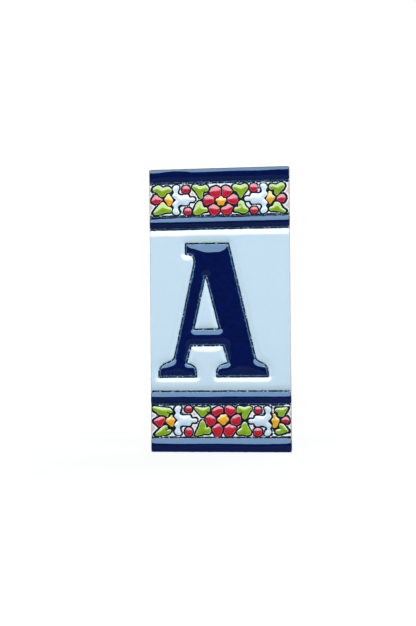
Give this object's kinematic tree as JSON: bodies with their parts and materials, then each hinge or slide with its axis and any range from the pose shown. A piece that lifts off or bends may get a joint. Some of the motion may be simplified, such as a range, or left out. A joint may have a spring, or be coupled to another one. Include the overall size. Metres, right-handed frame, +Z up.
{
  "type": "house letter tile",
  "caption": "Upright glazed ceramic house letter tile with navy bars, floral borders and a letter on a pale blue panel, to be fixed flat on a wall.",
  "frame": {"origin": "middle of the back face, where it meets the wall", "axes": "+Z up, +X to the right seen from the front, the face looks along -Y and the back along +Y"},
  "size_m": [0.0544, 0.0071, 0.11],
  "materials": {
    "clay": "matte",
    "line_print": "matte",
    "navy_enamel": "gloss",
    "pale_blue_enamel": "gloss",
    "white_blue_enamel": "gloss",
    "red_enamel": "gloss",
    "green_enamel": "gloss",
    "yellow_enamel": "gloss"
  },
  "bodies": {
    "root": {"tile_body": "clay", "outline_print": "line_print", "navy_bars": "navy_enamel", "panel_enamel": "pale_blue_enamel", "letter_enamel": "navy_enamel", "petals": "red_enamel", "flower_centres": "yellow_enamel", "leaves": "green_enamel", "berries": "red_enamel", "buds": "red_enamel", "blossoms": "white_blue_enamel", "yellow_flowers": "yellow_enamel"}
  },
  "joints": []
}
